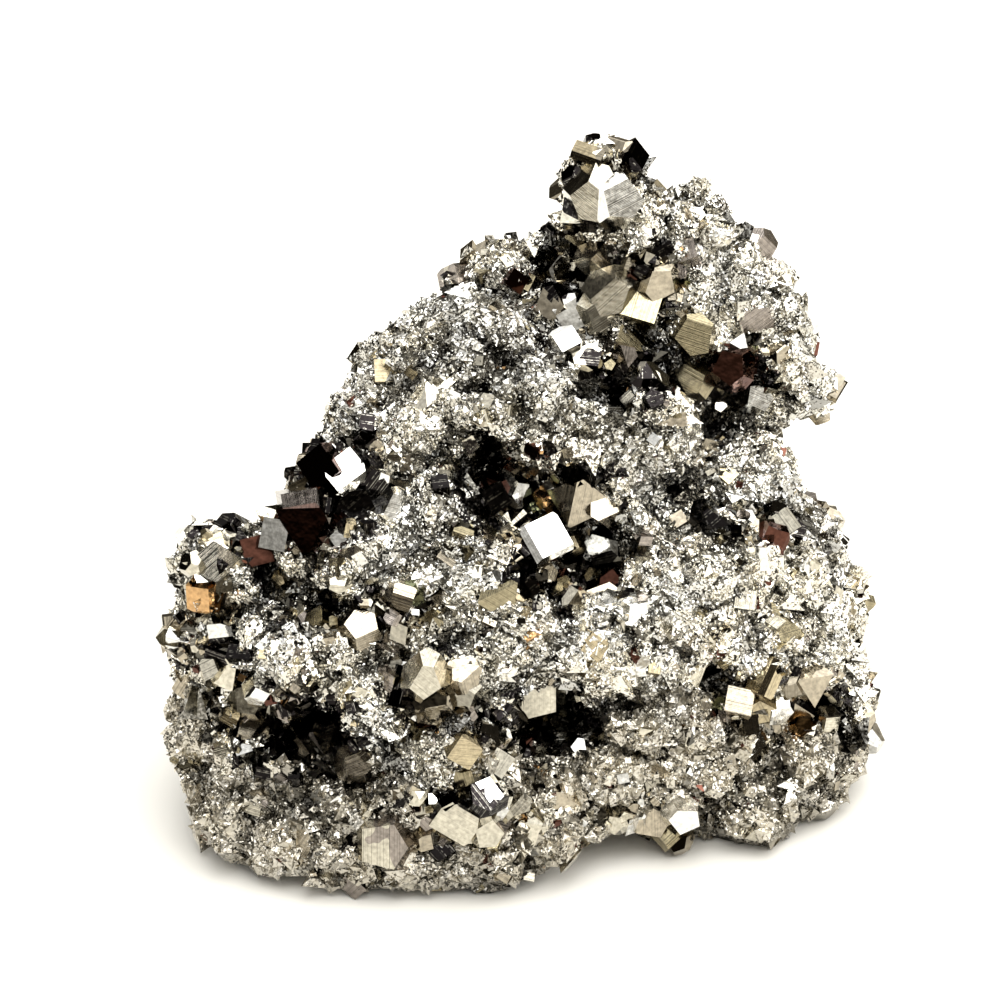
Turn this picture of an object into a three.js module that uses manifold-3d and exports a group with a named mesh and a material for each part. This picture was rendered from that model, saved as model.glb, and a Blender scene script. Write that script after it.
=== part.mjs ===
// Pyrite specimen: one natural cluster of crystals grown together, in millimetres.
// The origin is at the middle of the resting face, +Z is up, and the fine front side faces -Y.
import * as THREE from "three";
import { ConvexGeometry } from "three/addons/geometries/ConvexGeometry.js";
import { MarchingCubes } from "three/addons/objects/MarchingCubes.js";
import { mergeVertices } from "three/addons/utils/BufferGeometryUtils.js";
import Module from "manifold-3d";

const wasm = await Module();
wasm.setup();

// Driving dimensions, in millimetres
const specimenWidth = 70;
const facetSize = 3.2;
const lumpRoughness = 0.55;
const baseHeight = -2;
const smallestCrystal = 1.3;
const largestCrystal = 2.5;

// The viewer looks down on the front at this many degrees
const frontElevation = 30;

// The front crystals' sizes are multiplied by the growth, and sunk by a share of their size
const crystalGrowth = 1.12;
const crystalSinking = 0.1;

// Share by which a face of a crystal may lie nearer to its middle or farther out
const crystalUnevenness = 0.15;

// How many smaller crystals crowd the seams between lumps and the walls of the vugs
const seamCrystalCount = 32;
const vugCrystalCount = 16;

// Pale brass-grey metal
const pyriteMaterial = new THREE.MeshStandardMaterial({
  color: 0xb8ad92,
  metalness: 0.9,
  roughness: 0.35,
});

// Lumps of the mass: x, y, z of the middle, then the three radii, in millimetres of the rough
// layout, which is scaled at the end so that the specimen is exactly its driving width
const core = [
  [-2, 1, 9, 27, 15, 14],
  [2, 3, 24, 22, 12, 12],
  [4, 6, 34, 15, 9, 10],
  [4, 11, 43, 11, 6, 7],
  [17, 15, 44, 7, 6, 8],
];
const lowerBand = [
  [-29, -10.5, 8.5, 7, 7, 8.5],
  [-24.5, -14.5, 3.5, 8.5, 7, 7],
  [-17.5, -17, 3, 8.5, 7, 6],
  [-9, -17.5, 2.5, 8.5, 7, 6],
  [-3, -17.5, 3, 8, 7, 6.5],
  [1.5, -16, 6, 7, 6.5, 7],
  [6.5, -13.5, 6, 6.5, 6, 6],
  [-12, -17, 8.5, 8.5, 6.5, 5.5],
  [-19.5, -15, 8, 8, 6.5, 6],
  [-5.5, -17, 9.5, 7, 6.5, 6],
  [-13, -17, 15, 5, 5, 4.5],
  [-6.5, -17, 17, 5.5, 5, 5],
  [12, -11, 10.5, 7.5, 6, 7],
  [17, -10.5, 4, 7.5, 6.5, 6.5],
  [18, -9, 11.5, 7, 6, 6],
  [23, -9.5, 1.5, 7, 6.5, 5.5],
  [29.5, -6, 3.5, 6.5, 7, 7],
  [33, -1, 6, 4.5, 6, 8.5],
];
const middleRow = [
  [-30, -7.5, 19, 5.5, 6, 7],
  [-21, -13, 21, 7.5, 6, 6],
  [-14.5, -15.5, 21, 5, 5, 4.5],
  [-8.5, -14.5, 21.5, 6.5, 6, 5.5],
  [-2, -13.5, 22, 6.5, 6, 5.5],
  [3.5, -12.5, 22, 6, 5, 5],
  [9.5, -10.5, 19, 6.5, 6, 5.5],
  [15, -8.5, 19.5, 6.5, 6, 6],
  [21.5, -6.5, 17.5, 6.5, 6, 5.5],
  [27, -3, 15, 7, 6.5, 6.5],
  [31.5, 1.5, 15, 4.5, 6, 8],
];
const shoulderRow = [
  [-30, -6, 24.5, 5.5, 6, 6],
  [-14, -9.5, 29, 6.5, 6, 5.5],
  [-7.5, -9.5, 29, 5, 5, 5],
  [-2, -9.5, 28.5, 5.5, 5, 5],
  [13, -6.5, 26, 6.5, 6, 6.5],
  [19, -4, 26, 7, 6, 6.5],
  [26, -0.5, 22, 7, 6, 7],
  [29.5, 4, 22.5, 4.5, 6, 6],
  [21.5, 3, 30, 7, 6, 6.5],
  [26, 7, 27, 3.5, 6, 6],
  [-7, -8.5, 34.5, 3.7, 4, 3.7],
  [-21, -4.5, 29.5, 5, 6, 5.5],
  [-17.5, -1, 33.5, 5.5, 6, 5.5],
];
const upperDome = [
  [12, -1, 38, 5.8, 5, 7],
  [8.5, -2, 36, 5, 5, 6],
  [5, -1, 39, 4.8, 5, 5.5],
  [0.5, 0, 40.5, 6.5, 5, 6.5],
  [-8, 0.5, 38.5, 7.5, 6, 6.5],
  [-4, 5.5, 43, 7.5, 6, 6.5],
  [1.5, 6, 43, 6, 5, 5.5],
  [-11, 7.5, 40.5, 5.5, 6, 6],
  [-14, 4, 37, 5.5, 6, 6],
  [-2.8, 15, 46.8, 4.8, 5, 5],
  [1.5, 16, 47, 5.5, 5, 5],
  [-7.5, 11, 42.5, 5, 5, 5],
];
const topKnob = [
  [9, 14.5, 58.6, 4.6, 5, 6.2],
  [6.5, 13, 54.5, 3.6, 4, 4],
  [13, 14, 53, 6, 6, 6.5],
  [18, 15.5, 51, 6.2, 6, 6],
  [22, 14.5, 46.5, 6, 6, 6],
  [15.5, 11.5, 44.5, 7.5, 6, 6.5],
  [21, 12, 40.5, 6, 6, 6],
  [27.6, 12.5, 38.5, 4.3, 5.5, 6.2],
  [9.5, 11, 47, 5.5, 5, 5.5],
  [26, 14.5, 44.5, 4.5, 5, 5],
];
const backSide = [
  [-25, 3, 5, 8, 8, 9],
  [-14, 12, 3.5, 10, 8, 8],
  [1, 16, 4, 10, 8, 9],
  [14, 13, 3.5, 10, 8, 8],
  [26, 7, 5, 7, 7, 9],
  [8, 12, 12, 9, 8.5, 8],
  [-22, 4, 19, 6.5, 7, 7.5],
  [-12, 13, 20, 9, 7, 8],
  [3, 17, 21, 9, 7.5, 8],
  [16, 14, 19, 9, 7.5, 8],
  [26, 10, 18, 6.5, 7, 8],
  [-14, 9, 30, 6.5, 7, 6.5],
  [-3, 15, 34, 8, 7, 8],
  [9, 18, 33, 8, 6.5, 8],
  [20, 14, 31, 7, 7, 7.5],
  [5, 19, 45, 7, 5, 7],
  [14, 19, 43, 7, 5.5, 7],
];
const lumps = [core, lowerBand, middleRow, shoulderRow, upperDome, topKnob, backSide].flat();

// Small numbers drawn in a fixed order, so the specimen is the same each time
function seededRandom(seed) {
  let state = seed;
  return () => {
    state = (state + 0x6d2b79f5) | 0;
    let mixed = Math.imul(state ^ (state >>> 15), 1 | state);
    mixed = (mixed + Math.imul(mixed ^ (mixed >>> 7), 61 | mixed)) ^ mixed;
    return ((mixed ^ (mixed >>> 14)) >>> 0) / 4294967296;
  };
}

function randomDirection(random) {
  const height = 2 * random() - 1;
  const angle = 2 * Math.PI * random();
  const reach = Math.sqrt(1 - height * height);
  return new THREE.Vector3(reach * Math.cos(angle), reach * Math.sin(angle), height);
}

// A closed solid from a geometry, and a geometry back from a solid
const mergeDistance = 1e-5;

function solidFrom(geometry) {
  const bare = geometry.clone();
  bare.deleteAttribute("normal");
  bare.deleteAttribute("uv");
  const merged = mergeVertices(bare, mergeDistance);
  const vertProperties = new Float32Array(merged.attributes.position.array);
  const triVerts = new Uint32Array(merged.index.array);
  return new wasm.Manifold(new wasm.Mesh({ numProp: 3, vertProperties, triVerts }));
}

function geometryFrom(solid) {
  const mesh = solid.getMesh();
  const geometry = new THREE.BufferGeometry();
  geometry.setAttribute("position", new THREE.BufferAttribute(mesh.vertProperties, 3));
  geometry.setIndex(new THREE.BufferAttribute(mesh.triVerts, 1));
  return geometry;
}

// Vugs, the dark hollows in the mass: x, y, z of the middle, then the three radii
const vugs = [
  [-3.5, -2.5, 36.5, 3.2, 4, 3.2],
  [-20.8, -15.5, 13.5, 5, 4, 2.8],
  [-17.8, -18, 11, 2.4, 3.5, 2.4],
  [3.2, -14, 12.5, 4.2, 4.5, 2.8],
  [7.5, -8, 29, 4, 4, 3],
  [5, -7.5, 27, 3, 4, 2.4],
  [-22, -11.5, 27, 4, 3.5, 2],
  [-8.5, -13, 27, 2, 3, 1.6],
  [20.5, -12, 15.8, 2.6, 3, 1.6],
  [31, -5, 9.7, 2.6, 3, 1.8],
  [22, 7.5, 39.5, 3, 3.5, 2.6],
  [5, 10.5, 50, 2.2, 4, 2.6],
  [9, -0.5, 43.5, 2.4, 4, 2.4],
  [22.5, -4.5, 31, 3, 2.5, 1.4],
  [9, -14.5, 14.8, 2, 2, 2],
  [-6, 20.5, 14, 4, 4, 3],
  [12, 22, 27, 3.4, 4, 2.6],
  [-18, 13, 27, 3, 4, 2.4],
  [22, 17, 12, 3, 4, 2.4],
];

// Large crystals of the front: place across and up in the plane that the viewer faces, size,
// then how far the showing face tips up and turns aside, in degrees
const leftSlopeCrystals = [
  [-24.8, 19.6, 2.3, 50, -5],
  [-17.3, 29.3, 2.7, 52, -8],
  [-21.3, 24.1, 3.1, 27, -10],
  [-19.4, 29.8, 2.8, 25, -25],
  [-28.5, 24.1, 2.6, 30, -10],
  [-30.2, 20.6, 2.6, 28, -30],
  [-26.5, 21.7, 2.3, 32, 10],
  [-22, 26, 2.6, 24, 15],
  [-24, 23.1, 2.3, 33, -20],
  [-16.4, 26, 2.5, 27, 10],
  [-14.3, 28.8, 2.4, 10, 0],
  [-12.4, 25.7, 2.4, 30, 20],
  [-11.3, 27.9, 2.2, 5, 15],
  [-31.4, 17.4, 2.2, 4, -20],
];
const middleCrystals = [
  [2.2, 22.7, 3.3, 50, 5],
  [6, 26.9, 3, 8, 20],
  [2.9, 26.9, 2.2, 4, -15],
  [8.2, 26, 2.4, 52, 10],
  [-2.6, 27.2, 2.2, 28, -20],
  [11.2, 16, 2.2, 10, 15],
  [8.2, 16.4, 2.4, 50, 0],
  [8.6, 21.7, 2.6, 30, -20],
  [4.6, 20.2, 2.6, 26, 10],
  [6.5, 18.8, 2.4, 33, 30],
  [-24.5, 5.8, 2.8, 8, -10],
  [1.8, 7.4, 3.1, 9, 5],
  [-0.8, 5.5, 2.6, 30, -25],
  [-9.1, 9.7, 2.6, 12, 0],
  [-15.7, 14.2, 2.4, 50, 0],
  [-12, 14.7, 2.3, 45, 10],
  [-7.7, 16.6, 2.6, 12, -10],
  [-2.1, 17.5, 2.6, 8, 10],
  [-29.4, 10.2, 2.8, 12, -25],
  [-27.4, 6.7, 2.3, 30, 0],
  [27.3, 4.6, 3.2, 6, 10],
  [26, 6.3, 2.4, 52, 0],
  [20.1, 7.6, 2.2, 52, -10],
  [21.9, 6.1, 2.2, 50, 10],
  [29.7, 8.3, 2.4, 10, 15],
];
const lowerCrystals = [
  [-6.4, -4.3, 2.9, 10, 0],
  [-3.5, -2.3, 2.3, 50, 0],
  [-13.8, -6.5, 3.3, 8, -5],
  [13, -5.5, 2.4, 10, 0],
  [16.5, -4.9, 2.4, 6, 10],
  [-19.5, 2.6, 2.2, 30, 0],
  [-16.3, 0.8, 2.2, 28, 10],
  [-5.4, 2.7, 2.2, 10, 0],
];
const crownCrystals = [
  [4.4, 42.3, 2, 52, 0],
  [6.6, 40.5, 2.1, 50, 15],
  [7.2, 57, 3.1, 10, -10],
  [9.6, 56.4, 2.9, 28, 25],
  [6.1, 55.3, 2.6, 50, -20],
  [9.3, 47.7, 2.7, 12, -10],
  [12.1, 46.1, 2.9, 48, 0],
  [13.5, 48.9, 2.3, 10, 15],
  [21.7, 37.3, 2.4, 5, 0],
  [21.2, 40.4, 2.6, 27, -10],
  [5.2, 45.4, 2.5, 28, 0],
  [3.3, 46.4, 2.2, 32, -20],
  [7.6, 45.3, 2.3, 25, 20],
  [17.5, 39.2, 2.4, 30, -15],
  [24, 37.3, 2.2, 30, 20],
  [17.3, 43.4, 2.3, 12, 0],
];
const frontCrystals = [leftSlopeCrystals, middleCrystals, lowerCrystals, crownCrystals].flat();

// All directions that pyrite's symmetry makes of one: its signs changed and its axes turned
function faceFamily(a, b, c) {
  const family = new Map();
  for (const turned of [[a, b, c], [b, c, a], [c, a, b]]) {
    for (let signs = 0; signs < 8; signs += 1) {
      const [x, y, z] = turned.map((value, axis) => (signs & (1 << axis) ? 0 - value : value));
      family.set(`${x} ${y} ${z}`, new THREE.Vector3(x, y, z).normalize());
    }
  }
  return [...family.values()];
}

// The families of faces that pyrite grows
const squareFaces = faceFamily(0, 1, 0);
const pentagonFaces = faceFamily(1, 2, 0);
const triangleFaces = faceFamily(1, 1, 1);

// The habits of its crystals: how far each family lies from the middle of a crystal of size 1
const pyritohedron = [[pentagonFaces, 0.775]];
const cube = [[squareFaces, 0.58]];
const bevelledCube = [[squareFaces, 0.62], [pentagonFaces, 0.72]];
const octahedron = [[triangleFaces, 0.6]];
const habits = [pyritohedron, cube, bevelledCube, pyritohedron, octahedron];

// Smaller than anything that counts, in a crystal of size 1
const trifle = 1e-6;

// Where three faces of a crystal meet, if they do
function meetingPoint(first, second, third) {
  const across = new THREE.Vector3().crossVectors(second.direction, third.direction);
  const volume = first.direction.dot(across);
  if (Math.abs(volume) < trifle) {
    return null;
  }
  const point = across.multiplyScalar(first.distance);
  const along = new THREE.Vector3().crossVectors(third.direction, first.direction);
  point.addScaledVector(along, second.distance);
  along.crossVectors(first.direction, second.direction);
  return point.addScaledVector(along, third.distance).divideScalar(volume);
}

function cornersOf(faces) {
  const corners = [];
  const isOnCrystal = (point) =>
    faces.every(({ direction, distance }) => direction.dot(point) < distance + trifle);
  for (let i = 0; i < faces.length; i += 1) {
    for (let j = 0; j < i; j += 1) {
      for (let k = 0; k < j; k += 1) {
        const point = meetingPoint(faces[i], faces[j], faces[k]);
        if (point && isOnCrystal(point)) {
          corners.push(point);
        }
      }
    }
  }
  return corners;
}

// A crystal's faces keep their directions but grow unevenly, and the one that shows is broad
function unevenFaces(habit, random) {
  const faces = [];
  for (const [family, distance] of habit) {
    for (const direction of family) {
      const growth = 1 + crystalUnevenness * (2 * random() - 1);
      faces.push({ direction, distance: distance * growth });
    }
  }
  faces[0].distance *= 1 - crystalUnevenness;
  return faces;
}

// One crystal at a place, its broad face turned to a direction and spun about it
function crystalSolid(place, size, facing, random) {
  const habit = habits[Math.floor(habits.length * random())];
  const faces = unevenFaces(habit, random);
  const turn = new THREE.Quaternion().setFromUnitVectors(faces[0].direction, facing);
  turn.premultiply(new THREE.Quaternion().setFromAxisAngle(facing, 2 * Math.PI * random()));
  const matrix = new THREE.Matrix4();
  matrix.compose(place, turn, new THREE.Vector3(size, size, size));
  return solidFrom(new ConvexGeometry(cornersOf(faces)).applyMatrix4(matrix));
}

// How deep a point lies in an ellipsoid: 0 at its middle, 1 on its surface
function levelIn(point, [x, y, z, a, b, c]) {
  return Math.hypot((point.x - x) / a, (point.y - y) / b, (point.z - z) / c);
}

function isInside(point) {
  const inLump = lumps.some((lump) => levelIn(point, lump) < 1);
  return inLump && !vugs.some((vug) => levelIn(point, vug) < 1);
}

// Where the viewer's line through a place across and up first meets the mass
const viewAngle = THREE.MathUtils.degToRad(frontElevation);
const towardsViewer = new THREE.Vector3(0, -Math.cos(viewAngle), Math.sin(viewAngle));
const upForViewer = new THREE.Vector3(0, towardsViewer.z, -towardsViewer.y);

function frontPlace(across, up) {
  const startDistance = 60;
  const step = 0.2;
  const point = upForViewer.clone().multiplyScalar(up);
  point.x = across;
  point.addScaledVector(towardsViewer, startDistance);
  for (let travelled = 0; travelled < 2 * startDistance; travelled += step) {
    if (isInside(point)) {
      return point;
    }
    point.addScaledVector(towardsViewer, -step);
  }
  return null;
}

function facingDirection(tip, aside) {
  const rise = THREE.MathUtils.degToRad(tip);
  const side = THREE.MathUtils.degToRad(aside);
  const level = Math.cos(rise);
  return new THREE.Vector3(level * Math.sin(side), -level * Math.cos(side), Math.sin(rise));
}

function frontCrystalSolids() {
  const random = seededRandom(11);
  const solids = [];
  for (const [across, up, size, tip, aside] of frontCrystals) {
    const place = frontPlace(across, up);
    if (place) {
      place.addScaledVector(towardsViewer, -crystalSinking * size);
      solids.push(crystalSolid(place, crystalGrowth * size, facingDirection(tip, aside), random));
    }
  }
  return solids;
}

function pointOn([x, y, z, a, b, c], direction) {
  return new THREE.Vector3(x + a * direction.x, y + b * direction.y, z + c * direction.z);
}

// A place on a lump where another lump comes close, so the two make a seam
function isSeam(point, ownLump) {
  const [closest, farthest] = [0.96, 1.12];
  const levels = lumps.filter((lump) => lump !== ownLump).map((lump) => levelIn(point, lump));
  const nearest = Math.min(...levels);
  const inVug = vugs.some((vug) => levelIn(point, vug) < 1);
  return nearest > closest && nearest < farthest && !inVug;
}

function seamCrystalSolids() {
  const random = seededRandom(23);
  const solids = [];
  const lowestSeam = 3;
  while (solids.length < seamCrystalCount) {
    const lump = lumps[Math.floor(lumps.length * random())];
    const outward = randomDirection(random);
    const point = pointOn(lump, outward);
    if (point.z > lowestSeam && isSeam(point, lump)) {
      const size = smallestCrystal + (largestCrystal - smallestCrystal) * random() ** 2;
      const place = point.addScaledVector(outward, -crystalSinking * size);
      solids.push(crystalSolid(place, size, randomDirection(random), random));
    }
  }
  return solids;
}

function vugCrystalSolids() {
  const random = seededRandom(37);
  const solids = [];
  const wallLevel = 0.96;
  const sizeRange = 0.6 * (largestCrystal - smallestCrystal);
  while (solids.length < vugCrystalCount) {
    const vug = vugs[Math.floor(vugs.length * random())];
    const point = pointOn(vug, randomDirection(random));
    const deepest = Math.min(...lumps.map((lump) => levelIn(point, lump)));
    if (deepest < wallLevel) {
      const size = smallestCrystal + sizeRange * random();
      solids.push(crystalSolid(point, size, randomDirection(random), random));
    }
  }
  return solids;
}

// Uneven growth: waves over the whole specimen, in millimetres
function unevenness(point) {
  const slow = Math.sin(0.55 * point.x + 0.4 * point.y + 0.3 * point.z);
  const middle = Math.sin(0.9 * point.y - 0.8 * point.z + 2);
  const quick = Math.sin(1.5 * point.z + 1.3 * point.x - 0.9 * point.y + 4);
  return lumpRoughness * (0.8 * slow + 0.7 * middle + 0.6 * quick);
}

// Depth below the surface in millimetres: positive in the mass, negative outside and in the vugs
function depthIn(point, ellipsoid) {
  const [a, b, c] = ellipsoid.slice(3);
  return (1 - levelIn(point, ellipsoid)) * Math.cbrt(a * b * c);
}

function massDepth(point) {
  const inLumps = Math.max(...lumps.map((lump) => depthIn(point, lump))) + unevenness(point);
  const inVugs = Math.max(...vugs.map((vug) => depthIn(point, vug)));
  return Math.min(inLumps, -inVugs);
}

// The lumps and vugs as one faceted surface, its facets about one size and a little uneven
function massGeometry() {
  const reach = 46;
  const middle = new THREE.Vector3(0, 0, 29);
  const cells = 2 * Math.ceil(reach / facetSize);
  const halfCells = cells / 2;
  const leastDepth = 0.13 * facetSize;
  const mostFacets = 20000;
  const surface = new MarchingCubes(cells, pyriteMaterial, false, false, mostFacets);
  const point = new THREE.Vector3();
  surface.isolation = 0;
  for (let k = 0; k < cells; k += 1) {
    for (let j = 0; j < cells; j += 1) {
      for (let i = 0; i < cells; i += 1) {
        point.set(i - halfCells, j - halfCells, k - halfCells).multiplyScalar(facetSize).add(middle);
        const depth = massDepth(point);
        const clear = Math.max(Math.abs(depth), leastDepth);
        surface.setCell(i, j, k, depth < 0 ? -clear : clear);
      }
    }
  }
  surface.update();
  const used = surface.geometry.drawRange.count;
  const geometry = new THREE.BufferGeometry();
  const corners = surface.positionArray.slice(0, 3 * used);
  geometry.setAttribute("position", new THREE.BufferAttribute(corners, 3));
  const merged = mergeVertices(geometry, mergeDistance);
  merged.scale(facetSize * halfCells, facetSize * halfCells, facetSize * halfCells);
  merged.translate(middle.x, middle.y, middle.z);
  return shakenGeometry(merged);
}

// Each corner moved a little at random, because no natural surface is even
function shakenGeometry(geometry) {
  const random = seededRandom(5);
  const places = geometry.attributes.position;
  const shake = 0.16 * facetSize;
  for (let i = 0; i < places.count; i += 1) {
    const away = randomDirection(random).multiplyScalar(shake);
    places.setXYZ(i, places.getX(i) + away.x, places.getY(i) + away.y, places.getZ(i) + away.z);
  }
  return geometry;
}

// The outer body alone, without the small closed holes inside it
function largestPiece(solid) {
  return solid.decompose().reduce((best, piece) => (piece.volume() > best.volume() ? piece : best));
}

// The mass with its crystals, cut flat at the base
function specimenSolid() {
  const crystals = [frontCrystalSolids(), seamCrystalSolids(), vugCrystalSolids()].flat();
  const grown = wasm.Manifold.union([largestPiece(solidFrom(massGeometry())), ...crystals]);
  const groundSize = 200;
  const ground = new THREE.BoxGeometry(groundSize, groundSize, groundSize);
  ground.translate(0, 0, baseHeight - groundSize / 2);
  return largestPiece(grown.subtract(solidFrom(ground)));
}

function specimenGeometry() {
  const geometry = geometryFrom(specimenSolid());
  geometry.computeBoundingBox();
  const { min, max } = geometry.boundingBox;
  geometry.translate(-(min.x + max.x) / 2, -(min.y + max.y) / 2, -min.z);
  const fit = specimenWidth / (max.x - min.x);
  geometry.scale(fit, fit, fit);
  return geometry;
}

const group = new THREE.Group();
const cluster = new THREE.Mesh(specimenGeometry(), pyriteMaterial);
cluster.name = "pyrite_cluster";
group.add(cluster);

export default group;
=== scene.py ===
import math
import random
from itertools import combinations

import bmesh
import bpy
import numpy as np
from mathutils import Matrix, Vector, noise
from mathutils.bvhtree import BVHTree


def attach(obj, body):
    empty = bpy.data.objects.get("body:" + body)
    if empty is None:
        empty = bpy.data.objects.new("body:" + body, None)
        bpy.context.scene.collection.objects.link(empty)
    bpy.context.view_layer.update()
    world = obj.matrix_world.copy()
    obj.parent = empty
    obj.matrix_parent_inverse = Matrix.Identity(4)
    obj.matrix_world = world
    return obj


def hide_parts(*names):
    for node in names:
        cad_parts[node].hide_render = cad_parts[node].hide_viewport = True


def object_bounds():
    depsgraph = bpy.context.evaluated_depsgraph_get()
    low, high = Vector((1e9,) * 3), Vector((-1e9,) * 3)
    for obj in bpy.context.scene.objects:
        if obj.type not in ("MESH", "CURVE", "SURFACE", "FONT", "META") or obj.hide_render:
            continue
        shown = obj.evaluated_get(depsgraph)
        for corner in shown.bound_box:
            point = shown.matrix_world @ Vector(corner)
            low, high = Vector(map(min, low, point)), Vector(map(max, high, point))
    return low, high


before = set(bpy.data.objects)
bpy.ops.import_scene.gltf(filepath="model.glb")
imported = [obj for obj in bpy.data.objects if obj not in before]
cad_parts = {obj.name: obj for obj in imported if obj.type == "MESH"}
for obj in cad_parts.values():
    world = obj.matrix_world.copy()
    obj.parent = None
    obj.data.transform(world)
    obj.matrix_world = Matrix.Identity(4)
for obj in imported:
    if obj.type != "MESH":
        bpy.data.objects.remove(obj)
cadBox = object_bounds()
mm = 0.001  # sizes and places in the dictionaries are mm where no other unit is given


# Nodes, for the light, the finishes and the scattering

def setInputs(tree, node, inputs):
    # an input, by number or name, is linked to another node's output or set to a value
    for socket, value in inputs.items():
        if isinstance(value, bpy.types.NodeSocket):
            tree.links.new(value, node.inputs[socket])
        else:
            node.inputs[socket].default_value = value


def addNode(tree, kind, inputs=None, **settings):
    node = tree.nodes.new(kind)
    for name, value in settings.items():
        setattr(node, name, value)
    setInputs(tree, node, inputs or {})
    return node


def maths(tree, operation, *values):
    return addNode(tree, "ShaderNodeMath", dict(enumerate(values)), operation=operation).outputs[0]


def vectorMaths(tree, operation, *values):
    return addNode(tree, "ShaderNodeVectorMath", dict(enumerate(values)), operation=operation).outputs[0]


def scaled(tree, vector, factor):
    inputs = {0: vector, "Scale": factor}
    return addNode(tree, "ShaderNodeVectorMath", inputs, operation="SCALE").outputs[0]


def between(tree, value, low, high, newLow=0.0, newHigh=1.0):
    inputs = dict(enumerate((value, low, high, newLow, newHigh)))
    return addNode(tree, "ShaderNodeMapRange", inputs).outputs[0]


def fillRamp(ramp, steps):
    # the steps that are missing are added first, at any place
    while len(ramp.elements) < len(steps):
        ramp.elements.new(0.5)
    for element, (place, colour) in zip(ramp.elements, steps):
        element.position = place
        element.color = (*colour, 1)


def newMaterial(name):
    material = bpy.data.materials.new(name)
    material.use_nodes = True
    tree = material.node_tree
    tree.nodes.clear()
    shader = addNode(tree, "ShaderNodeBsdfPrincipled")
    addNode(tree, "ShaderNodeOutputMaterial", {0: shader.outputs[0]})
    return material, tree, shader


# Camera, floor and light

cameraView = {
    "aim": (-2.6, 0.4, 31.2),  # the point at the middle of the picture
    "elevation": 30,  # degrees above the horizon
    "distance": 272,
    "pictureWidth": 96.6,  # across the picture at the aim point
    "sensorWidth": 36,
    "nearest": 10,  # what is nearer to the camera isn't drawn
}
floorLook = {
    "radius": 900,
    "sides": 96,
    "colour": (0.76, 0.74, 0.69, 1),
    "roughness": 0.6,
}
studio = {
    "backdrop": (1.0, 0.99, 0.975, 1),
    "backdropStrength": 1.0,
    "brighterRight": 0.90,  # how much brighter the sky is at the right, and darker at the left
    "sky": [
        # height from 0 to 1, colour there
        (0.00, (0.36, 0.32, 0.25)),
        (0.08, (0.24, 0.21, 0.16)),
        (0.15, (0.016, 0.013, 0.009)),
        (0.36, (0.016, 0.013, 0.009)),
        (0.44, (0.26, 0.24, 0.20)),
        (0.55, (1.12, 1.09, 1.02)),
        (0.65, (1.95, 1.93, 1.87)),
        (1.00, (2.80, 2.80, 2.76)),
    ],
    "lampsRound": (0, 0, 0.03),  # m, the point that the lamps stand round and turn to
    "lamps": [
        # name, azimuth, elevation, distance m, width m, height m, watts
        ("topLamp", 20, 78, 0.60, 0.35, 0.30, 1.2),
        ("backLamp", 165, 40, 0.65, 0.50, 0.16, 0.3),
        ("leftLamp", -78, 26, 0.60, 0.10, 0.36, 0.4),
        ("rightLamp", 75, 30, 0.60, 0.16, 0.36, 0.6),
        ("frontLamp", -14, 58, 0.62, 0.24, 0.12, 0.5),
        ("lowStrip", 26, 12, 0.60, 0.10, 0.10, 0.12),
    ],
}


def directionOf(azimuth, elevation):
    around = math.radians(azimuth)
    up = math.radians(elevation)
    return Vector((math.sin(around) * math.cos(up), -math.cos(around) * math.cos(up), math.sin(up)))


def addToScene(name, data):
    thing = bpy.data.objects.new(name, data)
    bpy.context.scene.collection.objects.link(thing)
    return thing


def makeCamera(view):
    data = bpy.data.cameras.new("photoCamera")
    data.sensor_width = view["sensorWidth"]
    data.lens = view["sensorWidth"] * view["distance"] / view["pictureWidth"]
    data.clip_start = view["nearest"] * mm
    camera = addToScene("photoCamera", data)
    back = directionOf(0, view["elevation"])
    camera.location = (Vector(view["aim"]) + back * view["distance"]) * mm
    camera.rotation_euler = (-back).to_track_quat("-Z", "Y").to_euler()
    bpy.context.scene.camera = camera


def makeFloor(look):
    shape = bmesh.new()
    bmesh.ops.create_circle(shape, cap_ends=True, segments=look["sides"], radius=look["radius"] * mm)
    mesh = bpy.data.meshes.new("floor")
    shape.to_mesh(mesh)
    shape.free()
    material, tree, shader = newMaterial("paleFloor")
    setInputs(tree, shader, {"Base Color": look["colour"], "Roughness": look["roughness"]})
    mesh.materials.append(material)
    floor = addToScene("floor", mesh)


def makeLamp(name, azimuth, elevation, distance, width, height, watts):
    data = bpy.data.lights.new(name, "AREA")
    data.shape = "RECTANGLE"
    data.size = width
    data.size_y = height
    data.energy = watts
    lamp = addToScene(name, data)
    outward = directionOf(azimuth, elevation)
    lamp.location = outward * distance + Vector(studio["lampsRound"])
    lamp.rotation_euler = (-outward).to_track_quat("-Z", "Y").to_euler()
    lamp.visible_camera = False


def makeWorld(look):
    # the camera sees a plain backdrop, and the crystals mirror a sky that is bright above and to the right
    world = bpy.data.worlds.new("studio")
    bpy.context.scene.world = world
    world.use_nodes = True
    tree = world.node_tree
    tree.nodes.clear()
    direction = addNode(tree, "ShaderNodeTexCoord").outputs["Generated"]
    split = addNode(tree, "ShaderNodeSeparateXYZ", {0: direction})
    ramp = addNode(tree, "ShaderNodeValToRGB", {0: split.outputs["Z"]})
    fillRamp(ramp.color_ramp, look["sky"])
    strength = maths(tree, "MULTIPLY_ADD", split.outputs["X"], look["brighterRight"], 1)
    sky = addNode(tree, "ShaderNodeBackground", {0: ramp.outputs[0], 1: strength})
    plain = addNode(tree, "ShaderNodeBackground", {0: look["backdrop"], 1: look["backdropStrength"]})
    isSeen = addNode(tree, "ShaderNodeLightPath").outputs["Is Camera Ray"]
    mix = addNode(tree, "ShaderNodeMixShader", {0: isSeen, 1: sky.outputs[0], 2: plain.outputs[0]})
    addNode(tree, "ShaderNodeOutputWorld", {0: mix.outputs[0]})


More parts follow.
